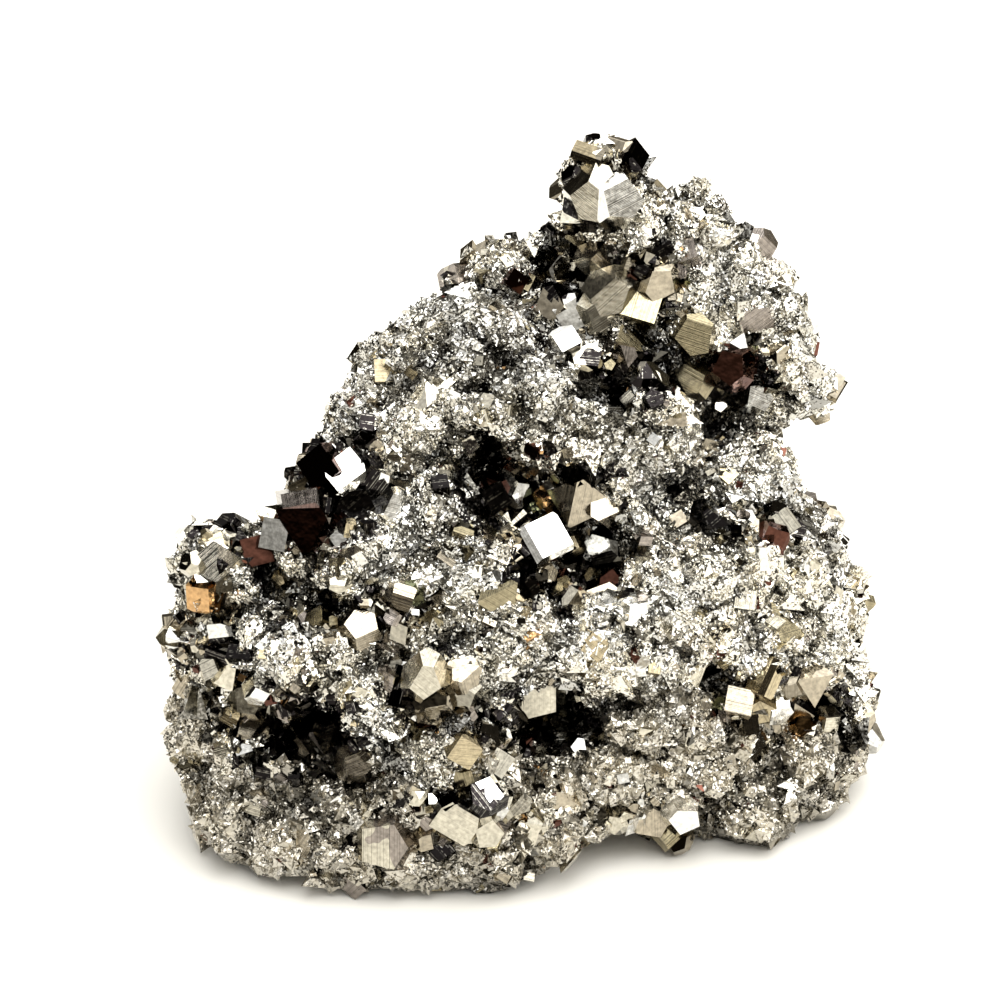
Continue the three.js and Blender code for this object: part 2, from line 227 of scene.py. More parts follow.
makeCamera(cameraView)
makeFloor(floorLook)
for lamp in studio["lamps"]:
    makeLamp(*lamp)
makeWorld(studio)
bpy.context.scene.view_settings.view_transform = "Standard"
print("camera, floor and light are in place")


# Pyrite finishes

pyriteColours = {
    "silver": (0.86, 0.85, 0.81),
    "warm": (0.86, 0.82, 0.72),
    "cream": (0.60, 0.56, 0.46),
    "tan": (0.42, 0.37, 0.285),
    "brass": (0.52, 0.44, 0.29),
    "olive": (0.34, 0.295, 0.19),
    "mauve": (0.34, 0.30, 0.265),
    "dusky": (0.74, 0.70, 0.62),
    "dull": (0.57, 0.53, 0.445),
    "deep": (0.014, 0.012, 0.012),  # painted shade: crystals painted all but black where they would mirror only the dark of a hollow
    "paintedStreak": (0.20, 0.19, 0.165),  # painted reflections: the fine bright lines on those
    "amber": (0.52, 0.32, 0.15),
    "maroon": (0.095, 0.040, 0.028),
    "greenish": (0.24, 0.25, 0.15),
}
colourPlans = {
    # tone of a crystal or height of a patch from 0 to 1, colour there
    "crystals": [
        (0.00, "silver"), (0.16, "cream"), (0.30, "tan"), (0.42, "silver"), (0.58, "cream"), (0.67, "tan"),
        (0.74, "brass"), (0.80, "olive"), (0.86, "mauve"), (0.91, "cream"), (0.95, "tan"),
    ],
    "crust": [(0.28, "silver"), (0.66, "warm")],
    "dull": [(0.28, "dusky"), (0.66, "dull")],
    "tarnish": [(0.0, "amber"), (0.25, "maroon"), (0.94, "greenish")],
}
pyriteLook = {
    "striations": (9.0, 3),  # lines per mm, detail
    "striatedTones": (0.45, 0.9),  # crystals are striated more and more between these tones
    "striationHeight": 0.05,
    "grooves": (0.50, 0.66),  # painted shade: the lines darken between these heights
    "patches": (0.14, 3),  # broad patches of brassier and of more silvery growth, per mm, detail
    "patchShift": 0.06,  # how far a patch shifts the tones of its crystals
    "toneShift": 0.4,  # how far the tone of a grain shifts the colour of its patch
    "stains": (2.5, 4),  # per mm, detail
    "cleanness": 0.95,  # light that an average stain lets through
    "darkShare": 0.58,  # of the crystals are painted all but black where the painted shade is full
    "paintedStreakStains": 0.5,  # how much the stains break up the painted reflections
    "paintedStreakAbove": 0.88,
    "waves": (0.8, 2),  # slow unevenness of the faces, per mm, detail
    "waveHeight": 0.03,
    "facetsPerMm": 5.0,
}
finishes = {
    "pyriteMass": {
        "plan": "crystals",
        "smooth": 0.07,  # least roughness
        "rough": 0.32,  # roughness on the striations
        "striation": 0.45,  # strength of the striations
        "tarnish": 0.06,  # share of tarnished crystals
        "stains": 1.3,  # how blotchy
        "grooves": 0.55,  # how dark the painted shade in the grooves of the striations is
        "facetTilt": 0,  # how far facets finer than a grain are tipped
    },
    "pyriteCrust": {
        "plan": "crust", "smooth": 0.12, "rough": 0.26, "striation": 0.10,
        "tarnish": 0.003, "stains": 0.7, "grooves": 0, "facetTilt": 0.6,
    },
    "pyriteDullCrust": {
        "plan": "dull", "smooth": 0.22, "rough": 0.40, "striation": 0.10,
        "tarnish": 0.003, "stains": 0.7, "grooves": 0, "facetTilt": 0.6,
    },
    "pyriteCrystals": {
        "plan": "crystals", "smooth": 0.06, "rough": 0.28, "striation": 0.35,
        "tarnish": 0.04, "stains": 1.3, "grooves": 0.55, "facetTilt": 0,
    },
}


def attributeOf(tree, name):
    return addNode(tree, "ShaderNodeAttribute", attribute_name=name).outputs["Fac"]


def noiseOf(tree, coordinates, perMm, detail):
    inputs = {"Vector": coordinates, "Scale": perMm / mm, "Detail": detail}
    return addNode(tree, "ShaderNodeTexNoise", inputs).outputs["Fac"]


def mixed(tree, share, first, second):
    first, second = ((*c, 1) if isinstance(c, tuple) else c for c in (first, second))
    inputs = {"Factor": share, "A": first, "B": second}
    return addNode(tree, "ShaderNodeMix", inputs, data_type="RGBA").outputs["Result"]


def planColour(tree, plan, interpolation, tone):
    node = addNode(tree, "ShaderNodeValToRGB", {0: tone})
    node.color_ramp.interpolation = interpolation
    fillRamp(node.color_ramp, [(place, pyriteColours[colour]) for place, colour in colourPlans[plan]])
    return node.outputs[0]


def striationLines(tree):
    # fine parallel lines, by how far a point lies across its own face
    linesPerMm, detail = pyriteLook["striations"]
    inputs = {"W": attributeOf(tree, "across"), "Scale": linesPerMm, "Detail": detail}
    return addNode(tree, "ShaderNodeTexNoise", inputs, noise_dimensions="1D").outputs["Fac"]


def metalColour(tree, plan, coordinates, tone):
    # single crystals have a colour of their own, and the grains of the crust that of their patch
    patches = noiseOf(tree, coordinates, *pyriteLook["patches"])
    if plan == "crystals":
        shift = pyriteLook["patchShift"]
        place = maths(tree, "MULTIPLY_ADD", patches, shift, maths(tree, "SUBTRACT", tone, shift / 2))
        return planColour(tree, plan, "CONSTANT", place)
    shift = pyriteLook["toneShift"]
    place = maths(tree, "MULTIPLY_ADD", tone, shift, maths(tree, "SUBTRACT", patches, shift / 2))
    return planColour(tree, plan, "LINEAR", place)


def faceColour(tree, finish, coordinates, tone, lines, stains):
    colour = metalColour(tree, finish["plan"], coordinates, tone)
    # painted shade: in the hollows many crystals are painted all but black, with a few painted bright
    # reflections
    paintedStreaks = maths(tree, "MULTIPLY_ADD", stains, pyriteLook["paintedStreakStains"], lines)
    isPaintedStreak = maths(tree, "GREATER_THAN", paintedStreaks, pyriteLook["paintedStreakAbove"])
    black = mixed(tree, isPaintedStreak, pyriteColours["deep"], pyriteColours["paintedStreak"])
    deepBelow = maths(tree, "MULTIPLY", attributeOf(tree, "gloom"), pyriteLook["darkShare"])
    colour = mixed(tree, maths(tree, "LESS_THAN", tone, deepBelow), colour, black)
    # a few single crystals are tarnished
    tint = planColour(tree, "tarnish", "CONSTANT", maths(tree, "DIVIDE", tone, finish["tarnish"]))
    return mixed(tree, maths(tree, "LESS_THAN", tone, finish["tarnish"]), colour, tint)


def faceLight(tree, finish, lines, striated, stains):
    # painted shade: little light gets down between the crystals, and the grooves of the striations are
    # darkened; the faces are also blotched with stains
    least = pyriteLook["cleanness"] - finish["stains"] / 2
    clean = maths(tree, "MULTIPLY_ADD", stains, finish["stains"], least)
    light = maths(tree, "MULTIPLY", attributeOf(tree, "light"), clean)
    if finish["grooves"]:
        grooves = maths(tree, "MULTIPLY", between(tree, lines, *pyriteLook["grooves"]), striated)
        light = maths(tree, "MULTIPLY", light, maths(tree, "MULTIPLY_ADD", grooves, -finish["grooves"], 1.0))
    return light


def facetNormal(tree, coordinates, tilt):
    # facets finer than the grains, each tipped its own way
    inputs = {"Vector": coordinates, "Scale": pyriteLook["facetsPerMm"] / mm}
    cells = addNode(tree, "ShaderNodeTexVoronoi", inputs).outputs["Color"]
    centred = vectorMaths(tree, "SUBTRACT", cells, (0.5, 0.5, 0.5))
    normal = addNode(tree, "ShaderNodeNewGeometry").outputs["Normal"]
    return vectorMaths(tree, "NORMALIZE", vectorMaths(tree, "MULTIPLY_ADD", centred, (tilt,) * 3, normal))


def faceNormal(tree, finish, coordinates, striations):
    waves = noiseOf(tree, coordinates, *pyriteLook["waves"])
    wavy = addNode(tree, "ShaderNodeBump", {
        "Strength": 1.0, "Distance": pyriteLook["waveHeight"] * mm, "Height": waves,
    })
    if finish["facetTilt"]:
        setInputs(tree, wavy, {"Normal": facetNormal(tree, coordinates, finish["facetTilt"])})
    lined = addNode(tree, "ShaderNodeBump", {
        "Strength": finish["striation"], "Distance": pyriteLook["striationHeight"] * mm,
        "Height": striations, "Normal": wavy.outputs[0],
    })
    return lined.outputs[0]


def pyriteMaterial(name, finish):
    material, tree, shader = newMaterial(name)
    coordinates = addNode(tree, "ShaderNodeTexCoord").outputs["Object"]
    tone = attributeOf(tree, "tone")
    lines = striationLines(tree)
    striated = between(tree, tone, *pyriteLook["striatedTones"])
    striations = maths(tree, "MULTIPLY", lines, striated)
    stains = noiseOf(tree, coordinates, *pyriteLook["stains"])
    colour = faceColour(tree, finish, coordinates, tone, lines, stains)
    light = faceLight(tree, finish, lines, striated, stains)
    setInputs(tree, shader, {
        "Metallic": 1.0,
        "Base Color": scaled(tree, colour, light),
        "Roughness": between(tree, striations, 0, 1, finish["smooth"], finish["rough"]),
        "Normal": faceNormal(tree, finish, coordinates, striations),
    })
    return material


materials = {name: pyriteMaterial(name, finish) for name, finish in finishes.items()}
print("pyrite finishes made:", len(materials))


# Where the larger crystals crowd together, and where the crust is dull

clusters = [
    # across and up from the aim point as the camera sees it, half width, half height,
    # and how much painted shade there is: how many of the crystals there are painted all but black
    (-16.4, 1.0, 5.8, 7.2, 0.85),  # left slope
    (-27.5, -3.9, 4.3, 3.4, 0.85),  # top of the left lobe
    (2.9, 0.0, 9.7, 5.3, 0.6),  # middle
    (5.8, -7.2, 7.2, 3.4, 0.85),
    (13.5, 21.3, 5.3, 4.3, 0.3),  # knob
    (7.2, 22.7, 3.4, 3.9, 0.8),
    (23.2, 13.0, 4.3, 4.8, 0.5),  # below the knob
    (9.7, 30.4, 3.9, 4.8, 0.5),  # peak
    (12.6, 12.1, 5.8, 3.4, 0.7),
    (-19.8, -21.7, 8.2, 4.8, 0.85),  # lower left hollow
    (3.9, -21.7, 6.8, 4.3, 0.7),  # lower middle hollow
    (-14.5, -10.6, 8.7, 2.9, 0.6),
    (-6.8, -18.4, 4.3, 4.3, 0.4),
    (28.0, -19.3, 8.2, 2.9, 0.5),  # right
    (-3.4, -30.4, 6.3, 3.4, 0.3),  # bottom edge
    (15.9, -30.9, 5.8, 2.4, 0.5),
    (-28.5, -13.5, 3.9, 4.8, 0.5),  # left side
    (-11.6, -33.3, 3.4, 1.9, 0.6),
    (25.1, -2.4, 5.8, 1.9, 0.5),
]
dullPatches = [
    # across, up, half width, half height, and the light that the duller crust there gives back
    (-1.0, 14.5, 11.0, 10.0, 0.52),  # dome
    (-6.5, -13.5, 14.0, 7.5, 0.82),
    (-14.0, 12.0, 7.0, 8.0, 0.85),
    (-12.0, -29.0, 17.0, 7.0, 0.80),  # low on the left
]
dullFade = 2  # how quickly such a patch ends
frontSide = {
    "border": -6,  # the front lies before this at the foot
    "lean": 0.38,  # and the border leans back by this for each mm of height
    "facing": 0.1,  # what is turned to the camera by more than this belongs to it too
}
clusterEdge = {
    "outside": -9.0,  # weight far from every cluster
    "roughness": 0.9,
    "waveLength": 2.2,
    "gloomRise": 3,  # how quickly the painted shade deepens from the edge inwards
    "rim": 0.35,  # surfaces turned to the camera by less than this lie at the outline
    "rimLoss": 2.5,  # crystals are rare there
    "backLength": 7.0,  # the clusters on the back are where broad waves of this length
    "backShare": 0.12,  # rise above this
    "backSlope": 4,
    # painted shade of the clusters on the back
    "backGloom": 0.45,
}
toCamera = np.array(directionOf(0, cameraView["elevation"]))


def wavesAt(places, length, shift=(0, 0, 0)):
    return np.array([noise.noise(Vector(p) / length + Vector(shift)) for p in places])


def isFrontSide(places):
    return places[:, 1] < frontSide["border"] + frontSide["lean"] * places[:, 2]


def pictureSpots(places):
    # where the camera sees each place, across and up from the middle of the picture
    upward = np.array([0, toCamera[2], -toCamera[1]])
    offset = places - np.array(cameraView["aim"])
    nearness = cameraView["distance"] / (cameraView["distance"] - offset @ toCamera)
    return offset[:, 0] * nearness, offset @ upward * nearness


def dullnessAt(places):
    across, up = pictureSpots(places)
    light = np.ones(len(places))
    for a, u, width, height, least in dullPatches:
        nearness = np.exp(-dullFade * (((across - a) / width) ** 2 + ((up - u) / height) ** 2))
        light *= 1 - (1 - least) * nearness * isFrontSide(places)
    return light


def clusterWeight(places, normals):
    # above zero inside the clusters of larger crystals, and how much painted shade they get there
    across, up = pictureSpots(places)
    towards = normals @ toCamera
    front = isFrontSide(places) | (towards > frontSide["facing"])
    best = np.full(len(places), clusterEdge["outside"])
    gloom = np.zeros(len(places))
    for a, u, width, height, dark in clusters:
        weight = 1 - ((across - a) / width) ** 2 - ((up - u) / height) ** 2
        gloom = np.where(weight > best, dark, gloom)
        best = np.maximum(best, weight)
    best -= clusterEdge["rimLoss"] * np.clip(clusterEdge["rim"] - towards, 0, 1)
    broad = wavesAt(places, clusterEdge["backLength"])
    best = np.where(front, best, clusterEdge["backSlope"] * (broad - clusterEdge["backShare"]))
    best += clusterEdge["roughness"] * wavesAt(places, clusterEdge["waveLength"])
    gloom = np.where(front, gloom, clusterEdge["backGloom"])
    return best, gloom * np.clip(clusterEdge["gloomRise"] * best, 0, 1)


# The mass: crystal faces of the solid stay flat and sharp, all else becomes uneven rock

massShape = {
    "mergeWithin": 1e-4,
    "flatTolerance": 1.2,  # degrees, faces closer than this are one face
    "angleTolerance": 0.35,  # degrees, from an angle between two faces of a pyrite crystal
    "shortestEdge": 0.2,  # shorter ones tell nothing about the faces beside them
    "facingDown": 0.999,  # the underside is turned down by this
    "lowestFaces": 0.01,  # and lies below this
    "edgeLength": 0.90,  # longest edge of the finer surface
    "halvings": 3,
    "smoothings": 3,
    "relief": 0.5,  # how much the lumps and hollows of the solid are deepened
    "reliefWidth": 40,
    "reliefMost": 0.9,  # no point moves further than this for it
    "calmWidth": 6,  # width of the calm rock round the crystals, in smoothings
    "footHeight": 3.0,  # lumps and relief fade out below this, so that the foot keeps a clean edge
    "footLight": 0.4,  # share of the light that is left at the very foot, as painted shade
    "lumps": [(6.5, 1.5, 0.50), (3.0, 0.6, 0.80)],  # distance, height, painted light left in the creases
    "lumpLevel": 0.22,  # share of a lump's height that stands out of the solid's surface
    "creaseWidth": 0.5,  # of the distance between two lumps
    "creaseShade": 0.5,  # share of a crease's width that is shaded
    "waveLength": 1.5,
    "waveHeight": 0.25,
    "undersideLength": 1.6,  # waves of the underside
    "undersideHeight": 0.35,
    "seed": 3,
}
# painted shade: the colour is darkened where rays from a point soon hit the mass
crevices = {
    "reach": 9,  # how far off something still shades a place
    "rays": 18,
    "clearance": 0.05,  # the rays start this far out of the surface
    "farHit": 0.4,  # openness of a ray that hits something just within its reach
    "shadedBelow": 0.14,  # share of open sky where a place is as dark as it gets
    "openAbove": 0.58,
    "contrast": 1.3,
    "darkest": 0.20,
    "rockShade": 0.22,  # painted shade on the mass between the crystals, beside their faces
}
notedCrystals = {
    # tone, or share of the tarnish, of the crystals that stand out, and where they are,
    # across and up from the aim point as the camera sees it
    "amber": (0.15, [(5.0, 1.0), (-29.7, -8.7)]),
    "maroon": (0.55, [
        (-19.6, -1.9), (-17.2, 3.9), (-0.5, 1.3), (23.2, 14.0), (-25.9, -3.9), (1.4, -20.5),
    ]),
    "greenish": (0.97, [(12.8, 13.5), (-7.0, -9.7)]),
    "silver": (0.55, [(4.3, -3.4), (-22.9, -6.5), (-15.5, 3.4), (13.5, 30.9)]),
    "cream": (0.625, [(-22.2, -20.1), (-7.2, -16.9), (3.9, -18.6), (-4.3, -30.9), (10.1, 31.9)]),
    "tan": (0.70, [(9.2, -0.5), (28.5, -20.8), (-6.7, 20.6), (6.8, -1.9), (12.3, -31.6)]),
    "olive": (0.83, [(0.0, -9.7), (-4.3, -10.1), (12.6, 14.5)]),
    "mauve": (0.885, [(26.1, 25.3)]),
}
rockTone = 0.6
# degrees between the faces of a pyrite crystal; striations follow the roof edge of two pentagons
crystalAngles = {
    "roof": 53.130,
    "pentagon": 66.422,
    "octahedron": 70.529,
    "cube": 90.0,
    "bevel": 26.565,
    "sideBevel": 63.435,
}
rock, crystalFace, underside = range(3)  # kinds of faces


def groupsOf(count, pairs):
    # numbers that are linked by pairs get the same group
    parent = list(range(count))

    def top(i):
        while parent[i] != i:
            parent[i] = parent[parent[i]]
            i = parent[i]
        return i

    for a, b in pairs:
        parent[top(a)] = top(b)
    return [top(i) for i in range(count)]


def clusterCopy(look):
    # the solid's mesh is loose triangles, so their corners are merged
    shape = bmesh.new()
    shape.from_mesh(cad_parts["pyrite_cluster"].data)
    bmesh.ops.remove_doubles(shape, verts=shape.verts, dist=look["mergeWithin"] * mm)
    shape.faces.ensure_lookup_table()
    shape.faces.index_update()
    for face in shape.faces:
        face.smooth = False
    return shape


def normalsOf(shape, region):
    normals = {}
    for face in shape.faces:
        r = region[face.index]
        normals[r] = normals.get(r, Vector((0, 0, 0))) + face.normal * face.calc_area()
    for r in normals:
        normals[r].normalize()
    return normals


def findCrystalFaces(shape, look):
    # flat regions that meet at the angles of pyrite are faces of a crystal
    inner = [e for e in shape.edges if len(e.link_faces) == 2]
    flat = math.radians(look["flatTolerance"])
    joined = [(e.link_faces[0].index, e.link_faces[1].index) for e in inner
              if abs(e.calc_face_angle_signed(0)) < flat]
    region = groupsOf(len(shape.faces), joined)
    normals = normalsOf(shape, region)
    pairs = []
    stripes = {}
    for e in inner:
        a, b = (region[f.index] for f in e.link_faces)
        if a == b or e.calc_face_angle_signed(0) < 0 or e.calc_length() < look["shortestEdge"] * mm:
            continue
        angle = math.degrees(normals[a].angle(normals[b]))
        kind = min(crystalAngles, key=lambda k: abs(crystalAngles[k] - angle))
        if abs(crystalAngles[kind] - angle) < look["angleTolerance"]:
            pairs.append((a, b))
            along = (e.verts[1].co - e.verts[0].co).normalized()
            for r in (a, b):
                if kind == "roof" or r not in stripes:
                    stripes[r] = along
    whole = groupsOf(len(shape.faces), pairs)
    return region, normals, whole, stripes


def markFaces(shape, region, stripes, look):
    # finer faces keep the region and the kind of the face that they are cut from
    kindLayer = shape.faces.layers.int.new("kind")
    regionLayer = shape.faces.layers.int.new("region")
    for face in shape.faces:
        r = region[face.index]
        face[regionLayer] = r
        face[kindLayer] = crystalFace if r in stripes else rock
        isLow = face.calc_center_median().z < look["lowestFaces"] * mm
        if face.normal.z < -look["facingDown"] and isLow:
            face[kindLayer] = underside
    return kindLayer, regionLayer


def refine(shape, look):
    for _ in range(look["halvings"]):
        long = [e for e in shape.edges if e.calc_length() > look["edgeLength"] * mm]
        bmesh.ops.subdivide_edges(shape, edges=long, cuts=1)
        bmesh.ops.triangulate(shape, faces=[f for f in shape.faces if len(f.verts) > 3])
    shape.verts.index_update()
    shape.faces.index_update()


def fixedPoints(shape, kindLayer):
    pinned = np.zeros(len(shape.verts), bool)
    below = np.zeros(len(shape.verts), bool)
    for face in shape.faces:
        if face[kindLayer] != rock:
            for v in face.verts:
                pinned[v.index] = True
                below[v.index] |= face[kindLayer] == underside
    return pinned, below


def smoothed(places, edges, pinned, times):
    places = places.copy()
    count = np.bincount(edges.ravel(), minlength=len(places))
    for _ in range(times):
        total = np.zeros_like(places)
        for axis in range(places.shape[1]):
            total[:, axis] += np.bincount(edges[:, 0], places[edges[:, 1], axis], len(places))
            total[:, axis] += np.bincount(edges[:, 1], places[edges[:, 0], axis], len(places))
        middle = total / count[:, None]
        places = np.where(pinned[:, None], places, 0.5 * places + 0.5 * middle)
    return places


def deepen(shape, pinned, look):
    # the lumps of the solid stand out further and its hollows go in deeper, apart from the pinned crystals;
    # gives back how far each point is above the foot, from 0 there to 1
    places = np.array([v.co for v in shape.verts]) / mm
    edges = np.array([[v.index for v in e.verts] for e in shape.edges])
    places = smoothed(places, edges, pinned, look["smoothings"])
    wide = smoothed(places, edges, np.zeros(len(places), bool), look["reliefWidth"])
    free = smoothed(np.where(pinned, 0.0, 1.0)[:, None], edges, pinned, look["calmWidth"])
    settled = np.clip(places[:, 2:] / look["footHeight"], 0, 1)
    moved = (places - wide) * look["relief"] * free * settled
    reach = np.linalg.norm(moved, axis=1, keepdims=True)
    places += moved * np.minimum(1, look["reliefMost"] / np.maximum(reach, look["reliefMost"]))
    for v in shape.verts:
        v.co = places[v.index] * mm
    shape.normal_update()
    return settled[:, 0]


def lumpAt(place, look):
    # rounded lumps that meet in sharp creases, as grape-like crusts do
    rise = 0
    light = 1
    for size, height, creaseLight in look["lumps"]:
        near, second = noise.voronoi(place / size)[0][:2]
        inward = min(1, (second - near) / look["creaseWidth"])
        rise += height * (look["lumpLevel"] - (1 - inward) ** 2)
        # painted shade: the colour darkens in the creases between the lumps
        light *= creaseLight + (1 - creaseLight) * min(1, inward / look["creaseShade"])
    return rise, light


def roughen(shape, pinned, below, settled, look):
    # small lumps and waves cover the rock, and the underside is a little uneven;
    # gives back the painted shade in the creases between the lumps
    creases = np.ones(len(settled))
    for v in shape.verts:
        if not pinned[v.index]:
            rise, creases[v.index] = lumpAt(v.co / mm, look)
            rise += look["waveHeight"] * noise.noise(v.co / (look["waveLength"] * mm))
            v.co += v.normal * rise * float(settled[v.index]) * mm
    for v in shape.verts:
        if below[v.index]:
            wave = noise.noise(v.co / (look["undersideLength"] * mm))
            v.co.z = look["undersideHeight"] * mm * abs(wave)
        v.co.z = max(v.co.z, 0)
    shape.normal_update()
    return creases


def opennessAt(shape, look):
    # how open each point lies, from rays sent out all round, made into painted shade that darkens the colour
    # of hollows
    tree = BVHTree.FromBMesh(shape)
    golden = math.pi * (3 - math.sqrt(5))
    rays = []
    for i in range(look["rays"]):
        height = 1 - (i + 0.5) / look["rays"]
        width = math.sqrt(1 - height * height)
        rays.append(Vector((width * math.cos(i * golden), width * math.sin(i * golden), height)))
    reach = look["reach"] * mm
    openness = []
    for v in shape.verts:
        turn = v.normal.to_track_quat("Z", "Y")
        start = v.co + v.normal * look["clearance"] * mm
        free = 0
        for ray in rays:
            distance = tree.ray_cast(start, turn @ ray, reach)[3]
            free += 1 if distance is None else look["farHit"] * distance / reach
        openness.append(free / look["rays"])
    light = (np.array(openness) - look["shadedBelow"]) / (look["openAbove"] - look["shadedBelow"])
    return look["darkest"] + (1 - look["darkest"]) * np.clip(light, 0, 1) ** look["contrast"]


def crystalTones(shape, crystalOf, seed):
    # a random tone for each large crystal, and the noted one for that nearest each noted place
    chance = random.Random(seed)
    share = finishes["pyriteMass"]["tarnish"]
    names = sorted(set(crystalOf) - {-1})
    tones = {name: share + (1 - share) * chance.random() for name in names}
    tones[-1] = rockTone
    centres = {name: [] for name in names}
    for face, name in zip(shape.faces, crystalOf):
        if name >= 0 and face.normal.dot(Vector(toCamera)) > 0:
            centres[name].append(face.calc_center_median() / mm)
    seen = [name for name in names if len(centres[name])]
    across, up = pictureSpots(np.array([np.mean(centres[name], axis=0) for name in seen]))
    tarnishes = [colour for place, colour in colourPlans["tarnish"]]
    for colour, (tone, spots) in notedCrystals.items():
        for a, u in spots:
            nearest = seen[int(np.argmin((across - a) ** 2 + (up - u) ** 2))]
            tones[nearest] = tone * share if colour in tarnishes else tone
    return tones


def addField(mesh, name, domain, values):
    mesh.attributes.new(name, "FLOAT", domain).data.foreach_set("value", values)


def makeMass(look):
    # gives back the object, the painted light and shade at its points, and what its faces are like
    shape = clusterCopy(look)
    region, normals, whole, stripes = findCrystalFaces(shape, look)
    kindLayer, regionLayer = markFaces(shape, region, stripes, look)
    print("crystal faces found:", len(stripes))
    refine(shape, look)
    pinned, below = fixedPoints(shape, kindLayer)
    settled = deepen(shape, pinned, look)
    creases = roughen(shape, pinned, below, settled, look)
    dullness = dullnessAt(np.array([v.co for v in shape.verts]) / mm)
    # painted shade of the hollows and creases, times the duller patches of crust
    light = opennessAt(shape, crevices) * creases * dullness
    # painted shade: darker towards the foot
    light *= look["footLight"] + (1 - look["footLight"]) * settled

    mesh = bpy.data.meshes.new("cluster_body")
    shape.to_mesh(mesh)
    mesh.materials.append(materials["pyriteMass"])
    kinds = np.array([f[kindLayer] for f in shape.faces])
    regions = [f[regionLayer] for f in shape.faces]
    crystalOf = [whole[r] if kind == crystalFace else -1 for r, kind in zip(regions, kinds)]
    tones = crystalTones(shape, crystalOf, look["seed"])
    middles = np.array([f.calc_center_median() for f in shape.faces]) / mm
    facing = np.array([f.normal for f in shape.faces])
    weight, gloom = clusterWeight(middles, facing)
    across = []
    shade = []
    for face, r, kind in zip(shape.faces, regions, kinds):
        sideways = normals[r].cross(stripes[r]) if kind == crystalFace else Vector((0, 0, 1))
        across += [v.co.dot(sideways) / mm for v in face.verts]
        # painted shade: the rock between the crystals is darkened
        paintedRockShade = crevices["rockShade"] if kind == rock else 1
        shade += [light[v.index] * paintedRockShade for v in face.verts]
    addField(mesh, "tone", "FACE", [tones[crystal] for crystal in crystalOf])
    addField(mesh, "gloom", "FACE", gloom)
    addField(mesh, "across", "CORNER", across)
    addField(mesh, "light", "CORNER", shade)
    shape.free()
    faces = {
        "isRock": kinds == rock,
        "middle": middles,
        "isFront": isFrontSide(middles),
        "weight": weight,
        "gloom": gloom,
        "atRim": np.clip(1 - np.abs(facing @ toCamera) / clusterEdge["rim"], 0, 1),
    }
    return addToScene("cluster_body", mesh), light, faces


body, openLight, faces = makeMass(massShape)
print("mass has", len(body.data.polygons), "triangles")


# Small shapes that the crust and the smaller crystals are made of

def faceFamily(a, b, c):
    # all directions that the symmetry of pyrite makes of one
    family = set()
    for x, y, z in ((a, b, c), (b, c, a), (c, a, b)):
        for i, j, k in ((i, j, k) for i in (-1, 1) for j in (-1, 1) for k in (-1, 1)):
            family.add((i * x, j * y, k * z))
    return [Vector(direction).normalized() for direction in sorted(family)]


squareFaces = faceFamily(0, 1, 0)
pentagonFaces = faceFamily(1, 2, 0)
triangleFaces = faceFamily(1, 1, 1)
habits = {
    # how far each family of faces lies from the middle of a crystal of size 1
    "pyritohedron": [(pentagonFaces, 0.775)],
    "cube": [(squareFaces, 0.58)],
    "bevelledCube": [(squareFaces, 0.62), (pentagonFaces, 0.72)],
    "cutCube": [(squareFaces, 0.60), (triangleFaces[:3], 0.68)],
}
grainTops = {
    # what sticks up out of the crust: its direction, its faces and how far they lie from the middle
    "cubeCorner": ((1, 1, 1), [
        ((1, 0, 0), 0.45), ((0, 1, 0), 0.45), ((0, 0, 1), 0.45),
    ]),
    "cutCorner": ((1, 1, 1), [
        ((1, 0, 0), 0.45), ((0, 1, 0), 0.45), ((0, 0, 1), 0.45), ((1, 1, 1), 0.45),
    ]),
    "cubeEdge": ((0, 1, 1), [
        ((0, 1, 0), 0.42), ((0, 0, 1), 0.42), ((1, 0, 0), 0.8), ((-1, 0, 0), 0.8),
    ]),
    "octahedronTip": ((0, 0, 1), [
        ((1, 1, 1), 0.42), ((-1, 1, 1), 0.42), ((1, -1, 1), 0.42), ((-1, -1, 1), 0.42),
    ]),
    "cubeSide": ((0, 0, 1), [
        ((0, 0, 1), 0.4), ((1, 0, 0), 0.5), ((-1, 0, 0), 0.4), ((0, 1, 0), 0.6), ((0, -1, 0), 0.6),
    ]),
}
grainDepth = 0.6  # how deep such a top goes into the rock
cornerCare = {
    "tolerance": 1e-5,  # of a crystal of size 1
    "mergeWithin": 0.01,  # corners closer than this are one
    "flatWithin": 0.03,  # radians, faces closer than this are one
}
grains = {
    "habits": [
        "cubeCorner", "cubeEdge", "cutCorner", "cubeSide", "octahedronTip", "cubeCorner", "cubeEdge",
        "cutCorner",
    ],
    "unevenness": 0.3,  # of the distances of the faces
    "stretches": (0,),  # how much longer each is one way
}
bladeForms = {
    "habits": ["cubeEdge", "cubeSide", "cubeEdge", "cubeSide"],
    "unevenness": 0.3,
    "stretches": (0.5, 0.8),
}
crystalForms = {
    "habits": [
        "pyritohedron", "bevelledCube", "cutCube", "pyritohedron", "bevelledCube", "pyritohedron",
        "cutCube", "bevelledCube", "pyritohedron", "cube", "cutCube", "bevelledCube",
    ],
    "unevenness": 0.27,
    "stretches": (0, 0.6, 0.3),
}


def crystalPlanes(habit, unevenness, stretch, seed):
    # faces keep their directions but lie at uneven distances, as in natural crystals
    chance = random.Random(seed)
    up = Vector((0, 0, 1))
    if habit in grainTops:
        up = Vector(grainTops[habit][0]).normalized()
        ideal = [(Vector(direction).normalized(), distance) for direction, distance in grainTops[habit][1]]
    else:
        ideal = [(direction, distance) for family, distance in habits[habit] for direction in family]
    planes = []
    for direction, distance in ideal:
        uneven = 1 + unevenness * chance.uniform(-1, 1)
        planes.append((direction, distance * uneven * (1 + stretch * abs(direction.x))))
    if habit in grainTops:
        planes.append((-up, grainDepth))
    return planes, up


